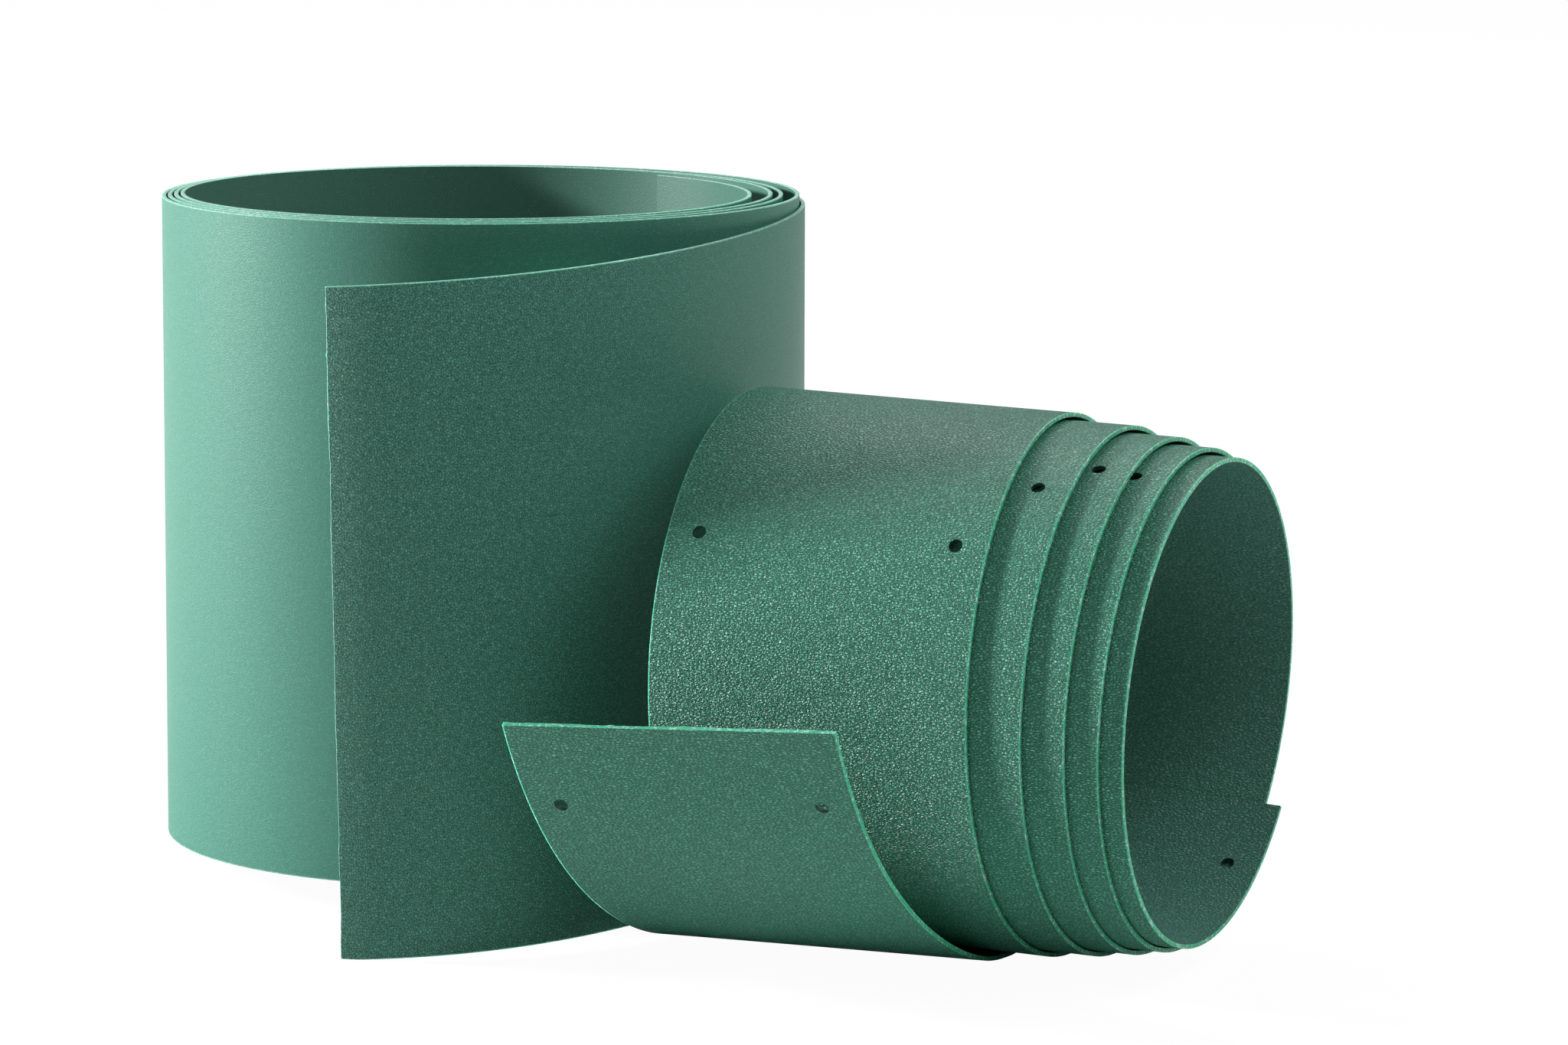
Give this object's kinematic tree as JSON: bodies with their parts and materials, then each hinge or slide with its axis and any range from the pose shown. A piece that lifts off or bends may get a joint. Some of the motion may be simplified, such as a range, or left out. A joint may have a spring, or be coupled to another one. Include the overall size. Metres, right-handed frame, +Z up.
{
  "type": "fence screening strip",
  "caption": "Loosely wound rolls of embossed green PVC fence screening strip: a wide plain roll stands on edge beside a narrow perforated roll on its side, both free ends peeled off.",
  "frame": {"origin": "centre of the bounding box, on the ground plane that both rolls stand on", "axes": "+X along the axis of the lying perforated roll, from the standing roll to the telescoped end; +Y from the free ends to the back; +Z up"},
  "size_m": [0.3498, 0.2838, 0.202],
  "materials": {
    "plain_strip": "embossed satin",
    "perforated_strip": "embossed satin"
  },
  "bodies": {
    "plain_roll": {"plain_strip_roll": "plain_strip"},
    "perforated_roll": {"perforated_strip_roll": "perforated_strip"}
  },
  "joints": [
    {"name": "perforated_roll_lift", "type": "slide", "parent": "plain_roll", "child": "perforated_roll", "axis": [0, 0, 1], "range_m": [0, 0.25]}
  ]
}
